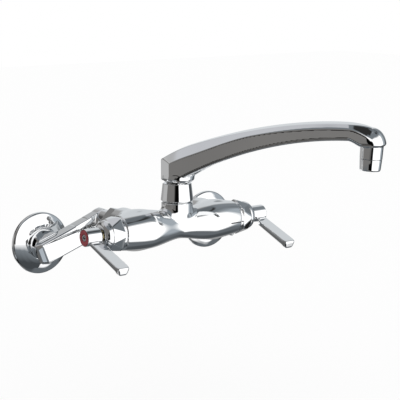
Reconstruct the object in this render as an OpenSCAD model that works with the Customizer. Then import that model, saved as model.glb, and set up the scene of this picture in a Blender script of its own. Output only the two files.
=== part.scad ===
// Wall-mounted two-handle sink faucet with a cast swing spout and two adjustable
// supply arms. Millimetres. The origin is midway between the two wall inlets on
// the wall plane; +X is the cold side, +Y points into the wall, +Z is up.

/* [Overall] */
// Distance between the two wall inlets
wall_centres = 203.2; // [196:0.1:208]
// Distance between the two inlets on the back of the body
body_centres = 92; // [88:1:96]
// Offset of a supply arm, wall inlet to body inlet
arm_offset = 59; // [58:0.5:62]
// Wall to the axis of the body
body_reach = 90; // [86:1:100]

/* [Body] */
// Largest radius of each barrel
barrel_r = 18.6; // [17.5:0.1:20]
// Radius of the barrel's open end
barrel_end_r = 16.4; // [16:0.1:17]
// Radius of the waist under the spout
waist_r = 13.2; // [12.5:0.1:14]
// Centre of the body to the end of a barrel
barrel_end_x = 67.5; // [66:0.5:70]
// Radius of the column that carries the spout
column_r = 15.2; // [14.8:0.1:16]

/* [Spout] */
// Swing axis to the centre of the outlet
spout_reach = 185; // [175:1:200]
// Turn of the spout from the row's +X axis, towards the front
spout_turn = 48; // [0:1:110]
// Width of the spout over its base
spout_base_w = 30; // [29:0.5:31]
// Width of the spout over its outlet
spout_tip_w = 27; // [26.5:0.5:28]
// Highest point of the spout above the body axis
spout_top_z = 102.8; // [102:0.2:106]
// Level underside of the spout above the body axis
spout_under_z = 87; // [86:0.1:88]
// Lean of the outlet towards the base
outlet_lean = 3.5; // [0:0.5:5]

/* [Handles] */
// Radius of the handle hub
hub_r = 8.2; // [8:0.1:9]
// Stem axis to the tip of the lever
lever_len = 59; // [55:0.5:65]
// Width of the lever
lever_w = 12.6; // [11:0.2:13]
// Angle of the closed lever below level
lever_drop = 19.4; // [10:0.2:30]

/* [Wall flanges] */
// Diameter of a wall flange
flange_d = 60.6; // [58:0.1:64]
// Radius of the threaded hole for the supply pipe
supply_r = 9.25; // [9:0.05:9.5]

/* [Hidden] */
$fn = 64;
eps = 0.01;
run = 0.05;          // radial clearance of a running fit
slack = 0.3;         // gap between pieces that pass each other

chrome = [0.78, 0.80, 0.82];
brass = [0.80, 0.64, 0.33];
rubber = [0.10, 0.10, 0.11];
steel = [0.66, 0.67, 0.68];
hot_red = [0.62, 0.10, 0.12];
cold_blue = [0.10, 0.24, 0.62];

wall_x = wall_centres / 2;
pivot_x = body_centres / 2;
body_rise = sqrt(pow(arm_offset, 2) - pow(wall_x - pivot_x, 2));
arm_rise = asin(body_rise / arm_offset);

// Levels along the swing axis, above the body axis
shoulder_z = 23;     // top of the column, under the nut
post_z = 37;         // top of the threaded post
nut_lip_z = 38.6;    // underside of the nut's lip
nut_top_z = 41;
spout_base_z = 42;   // underside of the spout's collar
tail_z = 12;         // lower end of the spout's tail
post_r = 12.6;
tail_r = 9.5;
tail_bore_r = 6.5;
ring_r = 12.3;
o_ring_r = 1.1;      // section radius of every spout seal
o_ring_zs = [17, 27];

// Distances along the body axis, from the centre outwards
seat_x = 32;         // inner face of the seat
valve_x = 37;        // outer face of the seat
sleeve_x = 40;       // inner end of the cartridge
nut_hex_x = 70;      // round collar ends and the flats begin
nut_end_x = 81.2;
cap_end_x = 88;
hub_x = 89.8;        // inner end of the handle hub
hub_end_x = 105.4;
chamber_r = 12.6;
cartridge_r = 12.5;
plunger_r = 9.4;
stem_r = 5;
seat_bore_r = 5;

// Distances from the wall towards the body, along the arms' pivots
flange_face = 9;     // front of the flange's hub
arm_back = 9;        // back of the arm's boss
arm_front = 36;      // front face of the arm
neck_to = 46;        // front of the arm's inner boss
nut_back = 49.5;     // back of the union nut
union_lip = 53;      // inner face of the union nut's lip
union_seat = 56;     // front face of the arm's flange
inlet_face = 57.5;   // end of the body's threaded inlet
nut_front = 61.5;    // front of the union nut
inlet_boss = 62.5;   // back of the body's round boss
union_r = 13.2;      // radius of the union thread
arm_tail_r = 10.5;
arm_bore_r = 6;

// ---- placing ----

// The hot side is drawn and the cold side is its mirror image.
module sided(side) {
    if (side > 0) mirror([1, 0, 0]) children();
    else children();
}

module at_body() { translate([0, -body_reach, body_rise]) children(); }

// Local +Z runs out along the hot side's stem, local +X points up.
module along_stem(side) {
    sided(side) at_body() rotate([0, -90, 0]) children();
}

// Local +X runs from the wall inlet to the body inlet, local -Y towards the front.
module along_arm(side) {
    sided(side) translate([-wall_x, 0, 0]) rotate([0, -arm_rise, 0]) children();
}

// A cylinder whose axis runs forward from the wall, between two distances from it.
module forward(from, to, r) {
    translate([0, -to, 0]) rotate([-90, 0, 0]) cylinder(h = to - from, r = r);
}

module at_swing() { at_body() rotate([0, 0, -spout_turn]) children(); }

module torus(ring, section) {
    rotate_extrude() translate([ring, 0]) circle(section, $fn = 24);
}

// ---- faucet body ----

// Radius of the body at a distance from its centre: a waist, then a swelling barrel.
crown_x = 39;
function barrel(x) =
    x < crown_x
    ? waist_r + (barrel_r - waist_r) * pow(sin(90 * x / crown_x), 1.7)
    : barrel_r - (barrel_r - barrel_end_r) * pow((x - crown_x) / (barrel_end_x - crown_x), 2);

module body_outside() {
    steps = 22;
    half = [for (i = [0:steps]) let (x = barrel_end_x * i / steps) [barrel(x), x]];
    mirrored = [for (i = [steps:-1:1]) [half[i][0], -half[i][1]]];
    rotate([0, 90, 0]) rotate_extrude()
        polygon(concat([[0, -barrel_end_x]], mirrored, half, [[0, barrel_end_x]]));
}

// Column under the spout: a rounded foot inside the waist, and a flare along the barrels.
module column() {
    flare_r = 8;
    flare_z = shoulder_z - 3;
    rotate_extrude() intersection() {
        scale([column_r, waist_r]) circle(1);
        translate([0, -waist_r]) square([column_r, waist_r + 1]);
    }
    cylinder(h = shoulder_z, r = column_r);
    intersection() {
        translate([0, 0, flare_z - flare_r]) rotate_extrude() difference() {
            square([column_r + flare_r, flare_r]);
            translate([column_r + flare_r, flare_r]) circle(flare_r);
        }
        rotate([0, 90, 0]) cylinder(h = 60, r = flare_z - 0.5, center = true);
    }
    cylinder(h = post_z, r = post_r);
}

// Threaded inlet on the back of a barrel.
module inlet(side) {
    sided(side) translate([-pivot_x, 0, 0]) {
        forward(inlet_boss, body_reach, 18);
        forward(inlet_face, body_reach, union_r - 0.1);
    }
}

module faucet_body() {
    color(chrome) difference() {
        union() {
            at_body() body_outside();
            at_body() column();
            for (side = [-1, 1]) translate([0, 0, body_rise]) inlet(side);
        }
        at_body() translate([0, 0, -6]) cylinder(h = post_z + 7, r = tail_r + run);
        at_body() rotate([0, 90, 0])
            cylinder(h = 2 * seat_x + 2, r = seat_bore_r, center = true);
        for (side = [-1, 1]) {
            along_stem(side) translate([0, 0, seat_x]) cylinder(h = 40, r = chamber_r);
            sided(side) translate([-pivot_x, 0, body_rise])
                forward(inlet_face - 1, body_reach - 4, 7);
        }
    }
}

// ---- spout ----

base_back = spout_base_w / 2;          // swing axis to the back of the spout
plan_cut = 10.6;                       // corner cut across the back, in plan
nose_r = spout_tip_w / 2;
crown_s = 150;                         // where the top edge is level
top_drop = 29.4;                       // crown to the top edge over the swing axis
under_drop = 44.2;                     // level underside to the base
under_s = 160;                         // where the underside turns level
nose_drop = 21.4;                      // crown to the lower lip of the nose
nose_power = 2.6;                      // roundness of the nose in side view
lip_z = 81.5;                          // lower lip of the nose, over the outlet

function ramp(x) = let (t = max(0, min(1, x))) t * t * (3 - 2 * t);
function half_w(s) =
    s < plan_cut - base_back ? base_back - plan_cut + (s + base_back)
    : s < spout_reach ? (spout_base_w + (spout_tip_w - spout_base_w) * max(0, s) / spout_reach) / 2
    : sqrt(max(0, pow(nose_r, 2) - pow(s - spout_reach, 2)));
function top_z(s) =
    s < crown_s
    ? spout_top_z - top_drop * pow(1 - s / crown_s, 1.85) - 4.2 * pow(max(0, 15 - s) / 32, 2)
    : spout_top_z - nose_drop * (1 - pow(1 - pow(min(1, (s - crown_s) / (spout_reach + nose_r
        - crown_s + 0.4)), nose_power), 1 / nose_power));
function under_z(s) =
    s < -base_back + 5 ? 43.2 - (s + base_back - 5) * 0.24
    : s < 0 ? 43.2
    : s < under_s ? spout_under_z - under_drop * pow(1 - s / under_s, 2.02)
    : spout_under_z - (spout_under_z - lip_z) * ramp((s - under_s - 3) / 14);
function bevel(s) = 9.6 - 3.4 * ramp((s - 20) / 60) + 5 * ramp((s - 158) / 32);

// Cross-section at a distance along the spout, from the top edge round.
function section(s) =
    let (w = half_w(s), top = top_z(s), low = under_z(s),
         side = min(bevel(s), w - 1), drop = min(bevel(s), (top - low) * 0.6, w),
         under = min(2, w / 2))
    [[s, side - w, top], [s, w - side, top], [s, w, top - drop], [s, w, low + under],
     [s, w - under, low], [s, under - w, low], [s, -w, low + under], [s, -w, top - drop]];

stations = concat(
    [-base_back, plan_cut / 2 - base_back, plan_cut - base_back],
    [for (s = [0:6:150]) s],
    [for (s = [154:4:182]) s],
    [for (a = [0:11:77]) spout_reach + nose_r * sin(a)]
);

module spout_loft() {
    sides = 8;
    last = len(stations) - 1;
    points = [for (s = stations) each section(s)];
    walls = [for (i = [0:last - 1], k = [0:sides - 1])
        [i * sides + k, i * sides + (k + 1) % sides,
         (i + 1) * sides + (k + 1) % sides, (i + 1) * sides + k]];
    back = [for (k = [sides - 1:-1:0]) k];
    nose = [for (k = [0:sides - 1]) last * sides + k];
    polyhedron(points, concat([back], walls, [nose]), convexity = 6);
}

// A round bar or drilling between two points (distance along, height).
module strut(from, to, r1, r2) {
    run_s = to[0] - from[0];
    run_z = to[1] - from[1];
    translate([from[0], 0, from[1]]) rotate([0, atan2(run_s, run_z), 0])
        cylinder(h = norm([run_s, run_z]), r1 = r1, r2 = r2);
}

// The outlet's own frame: local origin where its axis meets the lip of the nose.
module at_outlet() {
    at_swing() translate([spout_reach, 0, lip_z]) rotate([0, outlet_lean, 0]) children();
}

spigot_h = 12;        // cast part of the outlet
shell_h = 11;         // screwed-on aerator shell
spigot_r = 10.9;
outlet_bore_r = 6;

module spout() {
    foot_r = 15.4;
    foot_shift = 1.6;      // the foot bulges towards the outlet
    color(chrome) difference() {
        union() {
            at_swing() {
                spout_loft();
                translate([foot_shift, 0, spout_base_z]) {
                    cylinder(h = 3, r1 = foot_r - 3, r2 = foot_r);
                    translate([0, 0, 3]) cylinder(h = 4, r = foot_r);
                    translate([0, 0, 7]) cylinder(h = 3, r1 = foot_r, r2 = 12);
                }
                strut([0, 52], [34, 66], 12, 6);
                translate([0, 0, tail_z]) cylinder(h = spout_base_z - tail_z + 2, r = tail_r);
            }
            at_outlet() translate([0, 0, -spigot_h])
                cylinder(h = spigot_h + 2, r1 = spigot_r - 0.3, r2 = spigot_r);
        }
        at_swing() {
            for (z = o_ring_zs) translate([0, 0, z - 1.3]) difference() {
                cylinder(h = 2.6, r = tail_r + 1);
                cylinder(h = 2.6, r = tail_r - 2.2);
            }
            translate([0, 0, post_z]) difference() {
                cylinder(h = 1.5, r = tail_r + 1);
                cylinder(h = 1.5, r = tail_r - 1);
            }
            translate([0, 0, tail_z - 1]) cylinder(h = 50, r = tail_bore_r);
            strut([0, 56], [68, 85.5], 4.4, 4.4);
            strut([65, 86], [181, 95], 3.5, 3.5);
        }
        at_outlet() translate([0, 0, -spigot_h - 1]) cylinder(h = spigot_h + 13, r = outlet_bore_r);
        at_outlet() translate([0, 0, -spigot_h - 1]) cylinder(h = 7, r = 9);
    }
}

module spout_nut() {
    across = 30.6;
    corner_r = across / 2 / cos(22.5);
    height = nut_top_z - shoulder_z;
    color(chrome) at_body() translate([0, 0, shoulder_z]) difference() {
        intersection() {
            rotate(16.6) cylinder(h = height, r1 = corner_r, r2 = corner_r - 2.2, $fn = 8);
            union() {
                cylinder(h = 2, r1 = corner_r - 1.2, r2 = corner_r + 0.4);
                translate([0, 0, 2]) cylinder(h = height - 7, r = corner_r + 0.4);
                translate([0, 0, height - 5])
                    cylinder(h = 5, r1 = corner_r + 0.4, r2 = corner_r - 2.2);
            }
        }
        translate([0, 0, -1]) cylinder(h = nut_lip_z - shoulder_z + 1, r = post_r + 0.1);
        cylinder(h = height + 1, r = tail_r + 0.8);
    }
}

module spout_retaining_ring() {
    color(brass) at_swing() translate([0, 0, post_z]) difference() {
        cylinder(h = 1.5, r = ring_r);
        translate([0, 0, -1]) cylinder(h = 4, r = tail_r - 1);
        translate([0, -0.75, -1]) cube([ring_r + 1, 1.5, 4]);
    }
}

module spout_seal(i) {
    color(rubber) at_swing() translate([0, 0, o_ring_zs[i]]) torus(tail_r - o_ring_r, o_ring_r);
}

// ---- outlet ----

module aerator_shell() {
    top_r = spigot_r - 0.4;
    color(chrome) at_outlet() translate([0, 0, -spigot_h - shell_h]) difference() {
        union() {
            cylinder(h = 1.2, r1 = top_r - 1.4, r2 = top_r - 0.6);
            translate([0, 0, 1.2]) cylinder(h = shell_h - 1.2, r1 = top_r - 0.6, r2 = top_r);
            translate([0, 0, shell_h]) cylinder(h = 5, r = 8.9);
        }
        translate([0, 0, -1]) cylinder(h = shell_h + 8, r = 7);
        translate([0, 0, 2.5]) cylinder(h = shell_h + 8, r = 7.8);
    }
}

// Perforated disc with a rim, seated on the shell's inner lip.
module aerator_insert() {
    color(steel) at_outlet() translate([0, 0, 2.5 - spigot_h - shell_h]) difference() {
        cylinder(h = 9, r = 7.75);
        translate([0, 0, 1.6]) cylinder(h = 9, r = 6.8);
        translate([0, 0, -1]) cylinder(h = 4, r = 0.8, $fn = 16);
        for (a = [0:60:300]) rotate(a) translate([2.6, 0, -1]) cylinder(h = 4, r = 0.8, $fn = 16);
        for (a = [15:30:345]) rotate(a) translate([5, 0, -1]) cylinder(h = 4, r = 0.8, $fn = 16);
    }
}

module aerator_washer() {
    color(rubber) at_outlet() translate([0, 0, 11.5 - spigot_h - shell_h]) difference() {
        cylinder(h = 1.8, r = 7.75);
        translate([0, 0, -1]) cylinder(h = 4, r = 5.5);
    }
}

// ---- handles ----

// Side view of the lever, distance from the stem axis against height. Its flat top
// points at the stem axis, and it thickens underneath towards the tip.
module lever_side() {
    root_t = 4.6;
    tip_t = 7.8;
    polygon([[0, -root_t], [lever_len - 1.6, -tip_t], [lever_len - 0.4, 1.4 - tip_t],
             [lever_len, -tip_t / 2], [lever_len - 0.2, -1.2], [lever_len - 1.4, 0], [0, 0]]);
}

// Top view of the lever: straight outside, a hollow shoulder inside, a rounded tip.
module lever_plan() {
    corner = 2.6;
    half = lever_w / 2;
    neck = 2.2;
    polygon(concat(
        [[0, -half], [lever_len - corner, -half], [lever_len, corner - half],
         [lever_len, half - corner], [lever_len - corner, half]],
        [for (i = [0:6]) let (a = 15 * i) [20 - 9 * sin(a), neck + (half - neck) * cos(a)]],
        [[0, neck]]));
    for (e = [-1, 1])
        translate([lever_len - corner, e * (half - corner)]) circle(corner, $fn = 32);
}

// Cross-section of the lever with its edges eased, against one flat face at height 0.
module lever_edges(depth) {
    ease = 1.1;
    half = lever_w / 2;
    polygon([[-half, -depth], [half, -depth], [half, -ease], [half - ease * 0.3, -ease * 0.3],
             [half - ease, 0], [ease - half, 0], [ease * 0.3 - half, -ease * 0.3], [-half, -ease]]);
}

lever_x = 97.2;       // centre of the lever along the stem
module lever(side) {
    color(chrome) difference() {
        union() {
            along_stem(side) {
                translate([0, 0, hub_x]) cylinder(h = 1, r1 = hub_r - 0.8, r2 = hub_r);
                translate([0, 0, hub_x + 1]) cylinder(h = hub_end_x - hub_x - 1.6, r = hub_r);
                translate([0, 0, hub_end_x - 0.6]) cylinder(h = 0.6, r1 = hub_r, r2 = hub_r - 0.5);
            }
            sided(side) at_body() translate([-lever_x, 0, 0])
                rotate([lever_drop, 0, 0]) rotate([0, 0, -90]) intersection() {
                    translate([0, 0, -10]) linear_extrude(20) lever_plan();
                    translate([0, 10, 0]) rotate([90, 0, 0]) linear_extrude(20) lever_side();
                    rotate([90, 0, 90]) linear_extrude(lever_len) lever_edges(12);
                }
        }
        along_stem(side) {
            translate([0, 0, hub_x - 1]) cylinder(h = 10.2, r = stem_r - 1);
            translate([0, 0, hub_x + 5]) cylinder(h = 12, r = 1.75);
            translate([0, 0, hub_end_x - 3.2]) cylinder(h = 4, r = 3.5);
            translate([0, 0, hub_end_x - 1]) cylinder(h = 2, r = hub_r - 0.6);
        }
    }
}

module index_ring(side, tint) {
    color(tint) along_stem(side) translate([0, 0, hub_end_x - 1]) difference() {
        cylinder(h = 1.1, r = hub_r - 0.65);
        translate([0, 0, -1]) cylinder(h = 4, r = 3.5);
    }
}

module handle_screw(side) {
    color(steel) along_stem(side) translate([0, 0, hub_end_x - 3.2]) difference() {
        union() {
            translate([0, 0, -8]) cylinder(h = 8.1, r = 1.7);
            cylinder(h = 2.6, r = 3.3);
            translate([0, 0, 2.6]) cylinder(h = 0.5, r1 = 3.3, r2 = 2.8);
        }
        for (a = [0, 90]) rotate(a) translate([0, 0, 3]) cube([4, 0.9, 2.4], center = true);
    }
}

module stem(side) {
    color(brass) along_stem(side) difference() {
        union() {
            translate([0, 0, 53]) cylinder(h = hub_x - 0.2 - 53, r = stem_r);
            translate([0, 0, 53]) cylinder(h = hub_x + 9 - 53, r = stem_r - 1.05);
            translate([0, 0, 47]) cylinder(h = 7, r = 3.6);
        }
        translate([0, 0, 76 - 1.3]) difference() {
            cylinder(h = 2.6, r = stem_r + 1);
            cylinder(h = 2.6, r = stem_r - 2);
        }
        translate([0, 0, hub_end_x - 12]) cylinder(h = 9, r = 1.72);
    }
}

module stem_o_ring(side) {
    color(rubber) along_stem(side) translate([0, 0, 76]) torus(stem_r - 1, 1);
}

// Round cap that closes the bonnet round the stem.
module bonnet_cap(side) {
    cap_r = 14;
    dome_r = 6;
    end_r = cap_r - dome_r;
    reach = cap_end_x - nut_end_x;
    color(chrome) along_stem(side) translate([0, 0, nut_end_x]) difference() {
        rotate_extrude() {
            square([cap_r, reach - dome_r]);
            intersection() {
                translate([end_r, reach - dome_r]) circle(dome_r);
                translate([end_r - eps, reach - dome_r - eps]) square(dome_r + 2 * eps);
            }
            square([end_r, reach]);
        }
        translate([0, 0, -1]) cylinder(h = reach + 2, r = stem_r + slack);
    }
}

// Twelve-sided outline: six long and six short edges, with corners at +-turn from each axis.
module cut_hexagon(r, turn) {
    polygon([for (k = [0:5], e = [-1, 1]) r * [cos(60 * k + e * turn), sin(60 * k + e * turn)]]);
}

// Hexagonal bonnet nut whose flats are planed to alternate wedges. The two nuts were
// tightened to different turns.
module bonnet_nut(side) {
    face = side < 0 ? 38 : 60;
    color(chrome) along_stem(side) difference() {
        union() {
            translate([0, 0, barrel_end_x]) cylinder(h = 3, r = 15.6);
            rotate(face) hull() {
                translate([0, 0, nut_hex_x]) linear_extrude(1) cut_hexagon(17.4, 7.5);
                translate([0, 0, nut_end_x - 0.6]) linear_extrude(0.6) cut_hexagon(14.9, 24.5);
            }
        }
        translate([0, 0, barrel_end_x - 1]) cylinder(h = 20, r = 10.2);
    }
}

// ---- valve inside each barrel ----

module cartridge(side) {
    color(brass) along_stem(side) difference() {
        union() {
            translate([0, 0, sleeve_x]) cylinder(h = barrel_end_x - sleeve_x, r = cartridge_r);
            translate([0, 0, barrel_end_x]) cylinder(h = nut_end_x - barrel_end_x, r = 10.1);
        }
        translate([0, 0, sleeve_x - 1]) cylinder(h = 13, r = plunger_r + run);
        translate([0, 0, sleeve_x]) cylinder(h = 50, r = stem_r + run);
        for (a = [0:90:270]) rotate(a + 45) translate([0, 0, pivot_x - 1.5]) rotate([0, 90, 0])
            cylinder(h = 20, r = 2.4);
    }
}

module plunger(side) {
    color(brass) along_stem(side) difference() {
        translate([0, 0, sleeve_x - 0.6]) cylinder(h = 9.6, r = plunger_r);
        translate([0, 0, sleeve_x + 3]) cylinder(h = 12, r = 3.6 + slack);
    }
}

module seat_washer(side) {
    color(rubber) along_stem(side) translate([0, 0, valve_x]) cylinder(h = 2.4, r = 8.6);
}

module seat(side) {
    color(brass) along_stem(side) difference() {
        translate([0, 0, seat_x]) cylinder(h = valve_x - seat_x, r = cartridge_r);
        translate([0, 0, seat_x - 1]) cylinder(h = 10, r = seat_bore_r);
        translate([0, 0, valve_x - 1.5]) difference() {
            cylinder(h = 2, r = cartridge_r + 1);
            cylinder(h = 2, r = 7);
        }
    }
}

// ---- supply arms ----

// A slice of the bar: back and front are distances from the wall, and the bevel between
// the top and the front face is bevel_y deep and bevel_z high.
module bar_slice(at, back, front, top, bevel_y, bevel_z, low) {
    ease = 2.4;
    translate([at, 0, 0]) rotate([90, 0, 90]) linear_extrude(0.2)
        polygon([[-back, low + ease], [-back, top - ease], [-back - ease, top],
                 [bevel_y - front, top], [-front, top - bevel_z], [-front, low + 1.4],
                 [1.4 - front, low], [-back - ease, low]]);
}

// Front outline of the boss over the wall inlet.
module boss_plate() {
    translate([0, -27.4, 0]) rotate([90, 0, 0]) linear_extrude(0.4)
        polygon([[-17.6, -6], [-17.6, 6], [-12, 12.8], [7, 12.8], [12, 8],
                 [12, -8], [7, -12.8], [-12, -12.8]]);
}

module arm(side) {
    bar_top = 10.9;
    bar_low = -10.4;
    bar_back = 20;
    boss_r = 11.4;       // over the body inlet
    color(chrome) along_arm(side) difference() {
        union() {
            hull() {
                forward(arm_back, arm_back + 3, 15, $fn = 32);
                boss_plate();
            }
            hull() {
                bar_slice(-18, 25, 31.5, 10, 2.4, 2.4, -9.4);
                bar_slice(-13.8, 22, arm_front, bar_top + 0.4, 2, 1.2, bar_low);
                bar_slice(24, bar_back, arm_front, bar_top, 2, 4, bar_low);
            }
            hull() {
                bar_slice(23.8, bar_back, arm_front, bar_top, 2, 4, bar_low);
                bar_slice(44, bar_back, arm_front, bar_top + 0.4, 2.6, 9, bar_low);
            }
            hull() {
                bar_slice(43.8, bar_back, arm_front, bar_top + 0.4, 2.6, 9, bar_low);
                bar_slice(arm_offset + 4, bar_back, arm_front, bar_top + 1, 4, 12, bar_low + 2);
            }
            forward(0, arm_front - 10, 12.4);
            translate([arm_offset, 0, 0]) {
                forward(bar_back, neck_to, boss_r);
                forward(neck_to, union_seat, arm_tail_r);
                forward(union_lip, union_seat, union_r - slack);
            }
        }
        forward(-1, 24, supply_r);
        translate([0, -28, 0]) rotate([0, 90, 0]) cylinder(h = arm_offset, r = 5);
        forward(20, 28, 5);
        translate([arm_offset, 0, 0]) forward(28, union_seat + 1, arm_bore_r);
    }
}

// Hexagonal union nut with chamfered corners.
module union_nut(side) {
    corner_r = 17.6;
    turn = side < 0 ? 47 : 35;
    chamfer = 1.6;
    color(chrome) sided(side) translate([-pivot_x, 0, body_rise]) difference() {
        intersection() {
            translate([0, -nut_back, 0]) rotate([90, -turn, 0])
                cylinder(h = nut_front - nut_back, r = corner_r, $fn = 6);
            translate([0, -nut_back, 0]) rotate([90, 0, 0]) {
                cylinder(h = chamfer, r1 = corner_r - chamfer, r2 = corner_r + 0.2);
                translate([0, 0, chamfer])
                    cylinder(h = nut_front - nut_back - 2 * chamfer, r = corner_r + 0.2);
                translate([0, 0, nut_front - nut_back - chamfer])
                    cylinder(h = chamfer, r1 = corner_r + 0.2, r2 = corner_r - chamfer);
            }
        }
        forward(union_lip, nut_front + 1, union_r);
        forward(nut_back - 1, nut_front, arm_tail_r + run);
    }
}

module union_washer(side) {
    color(rubber) sided(side) translate([-pivot_x, 0, body_rise]) difference() {
        forward(union_seat, inlet_face, union_r - slack);
        forward(union_seat - 1, inlet_face + 1, 7.5);
    }
}

// ---- wall flanges ----

// Shallow cone with a rolled rim and a raised hub; hollow behind.
module flange(side) {
    rim_r = flange_d / 2;
    color(chrome) sided(side) translate([-wall_x, 0, 0]) rotate([90, 0, 0]) rotate_extrude()
        difference() {
            polygon([[12.45, 0], [rim_r, 0], [rim_r, 3.4], [rim_r - 1.4, 4.6], [rim_r - 3, 4.4],
                     [24, 5.6], [19, 7.4], [16.2, flange_face], [12.45, flange_face]]);
            polygon([[16, -1], [rim_r - 2, -1], [rim_r - 2, 2.2], [24, 3.4], [19, 5.2], [16, 6.2]]);
        }
}

// ---- the assembly ----

faucet_body();
spout();
spout_nut();
spout_retaining_ring();
spout_seal(1);  // spout_upper_o_ring
spout_seal(0);  // spout_lower_o_ring
aerator_shell();
aerator_insert();
aerator_washer();
lever(-1);  // hot_lever
index_ring(-1, hot_red);  // hot_index_ring
handle_screw(-1);  // hot_handle_screw
stem(-1);  // hot_stem
stem_o_ring(-1);  // hot_stem_o_ring
bonnet_cap(-1);  // hot_bonnet_cap
bonnet_nut(-1);  // hot_bonnet_nut
cartridge(-1);  // hot_cartridge
plunger(-1);  // hot_plunger
seat_washer(-1);  // hot_seat_washer
seat(-1);  // hot_seat
arm(-1);  // hot_arm
union_nut(-1);  // hot_union_nut
union_washer(-1);  // hot_union_washer
flange(-1);  // hot_flange
lever(1);  // cold_lever
index_ring(1, cold_blue);  // cold_index_ring
handle_screw(1);  // cold_handle_screw
stem(1);  // cold_stem
stem_o_ring(1);  // cold_stem_o_ring
bonnet_cap(1);  // cold_bonnet_cap
bonnet_nut(1);  // cold_bonnet_nut
cartridge(1);  // cold_cartridge
plunger(1);  // cold_plunger
seat_washer(1);  // cold_seat_washer
seat(1);  // cold_seat
arm(1);  // cold_arm
union_nut(1);  // cold_union_nut
union_washer(1);  // cold_union_washer
flange(1);  // cold_flange
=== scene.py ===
from math import asin, atan2, cos, degrees, pi, radians, sin, sqrt

import bmesh
import bpy
import numpy as np
from mathutils import Matrix, Vector


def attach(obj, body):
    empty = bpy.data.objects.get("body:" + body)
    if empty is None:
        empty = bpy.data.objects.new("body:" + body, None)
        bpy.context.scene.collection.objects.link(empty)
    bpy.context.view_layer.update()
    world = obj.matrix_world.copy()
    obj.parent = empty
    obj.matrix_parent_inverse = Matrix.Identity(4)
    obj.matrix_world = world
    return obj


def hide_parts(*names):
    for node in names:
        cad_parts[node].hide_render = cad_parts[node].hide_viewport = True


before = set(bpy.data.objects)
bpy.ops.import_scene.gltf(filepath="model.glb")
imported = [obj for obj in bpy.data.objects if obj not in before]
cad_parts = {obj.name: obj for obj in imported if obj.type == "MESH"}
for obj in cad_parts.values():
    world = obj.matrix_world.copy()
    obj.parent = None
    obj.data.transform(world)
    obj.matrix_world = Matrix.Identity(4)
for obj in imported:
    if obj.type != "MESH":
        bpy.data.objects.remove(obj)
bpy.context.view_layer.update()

MM = 0.001                         # shapes are written in millimetres and placed in metres

# ---- The set ----
# A plain white floor and a white room, with the reflections of a product table:
# one big soft box to the right of the camera, black and grey boards round it.

CAMERA_LENS = 115.193
CAMERA_PLACE = Vector((-0.706428, -1.075174, 0.261427))
CAMERA_YAW = radians(36.6848)      # turn from the front, towards the hot side
CAMERA_DOWN = radians(10.1694)
CAMERA_ROLL = radians(0.0348)

camera_data = bpy.data.cameras.new("camera")
camera_data.sensor_width = 36.0
camera_data.lens = CAMERA_LENS
camera_data.clip_start = 0.05
camera = bpy.data.objects.new("camera", camera_data)
bpy.context.scene.collection.objects.link(camera)
camera.matrix_world = (Matrix.Translation(CAMERA_PLACE)
                       @ Matrix.Rotation(-CAMERA_YAW, 4, "Z")
                       @ Matrix.Rotation(pi / 2 - CAMERA_DOWN, 4, "X")
                       @ Matrix.Rotation(-CAMERA_ROLL, 4, "Z"))
bpy.context.scene.camera = camera
bpy.context.scene.view_settings.view_transform = "Standard"


class Wiring:
    """Adds shader nodes to a tree and joins them."""

    def __init__(self, tree):
        self.tree = tree

    def node(self, kind, **settings):
        made = self.tree.nodes.new(kind)
        for key, value in settings.items():
            setattr(made, key, value)
        return made

    def feed(self, socket, value):
        if isinstance(value, bpy.types.NodeSocket):
            self.tree.links.new(value, socket)
        else:
            socket.default_value = value

    def math(self, operation, *values, clamp=False):
        made = self.node("ShaderNodeMath", operation=operation, use_clamp=clamp)
        for socket, value in zip(made.inputs, values):
            self.feed(socket, value)
        return made.outputs[0]

    def blend(self, factor, first, second):
        made = self.node("ShaderNodeMix", data_type="RGBA")
        self.feed(made.inputs["Factor"], factor)
        for name, value in (("A", first), ("B", second)):
            socket = [s for s in made.inputs if s.name == name and s.type == "RGBA"][0]
            self.feed(socket, value)
        return [s for s in made.outputs if s.type == "RGBA"][0]


world = bpy.data.worlds.new("studio")
bpy.context.scene.world = world
world.use_nodes = True
world.node_tree.nodes.clear()
room = Wiring(world.node_tree)
split = room.node("ShaderNodeSeparateXYZ")
room.feed(split.inputs[0], room.node("ShaderNodeTexCoord").outputs["Generated"])
TO_CAMERA = degrees(atan2(-cos(CAMERA_YAW), -sin(CAMERA_YAW)))
turn = room.math("SUBTRACT",
                 room.math("MULTIPLY", room.math("ARCTAN2", split.outputs["Y"], split.outputs["X"]),
                           180 / pi), TO_CAMERA)
height = room.math("MULTIPLY", room.math("ARCSINE", split.outputs["Z"]), 180 / pi)


CHROME_SHARE = 0.84                # of the light that chrome gives back
NEUTRAL = (1.0, 1.0, 1.0)
BLUE = (0.90, 1.0, 1.09)
PALE = (0.96, 1.0, 1.03)
LILAC = (0.98, 1.0, 1.05)
WARM = (1.03, 1.0, 0.97)


def grey(level, tint=NEUTRAL):
    """A linear colour that shows at this level, 0 to 255, once chrome has reflected it."""
    value = level / 255
    linear = value / 12.92 if value <= 0.04045 else ((value + 0.055) / 1.055) ** 2.4
    return tuple(linear / CHROME_SHARE * t for t in tint) + (1.0,)


def board(under, middle, reach, tone, soft):
    """Lays a board of one tone over the room. Its middle, its half sizes and the width
    of its soft edges are degrees of turn from the camera and degrees of height."""
    from_edge = room.math("FLOORED_MODULO", room.math("ADD", turn, 180 - middle[0]), 360.0)
    away = room.math("ABSOLUTE", room.math("SUBTRACT", from_edge, 180.0))
    rise = room.math("ABSOLUTE", room.math("SUBTRACT", height, middle[1]))
    cover = 1.0
    for distance, half, edge in ((away, reach[0], soft[0]), (rise, reach[1], soft[1])):
        inside = room.math("DIVIDE", room.math("SUBTRACT", half + edge / 2, distance), edge, clamp=True)
        cover = room.math("MULTIPLY", cover, inside)
    return room.blend(cover, under, tone)


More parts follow.
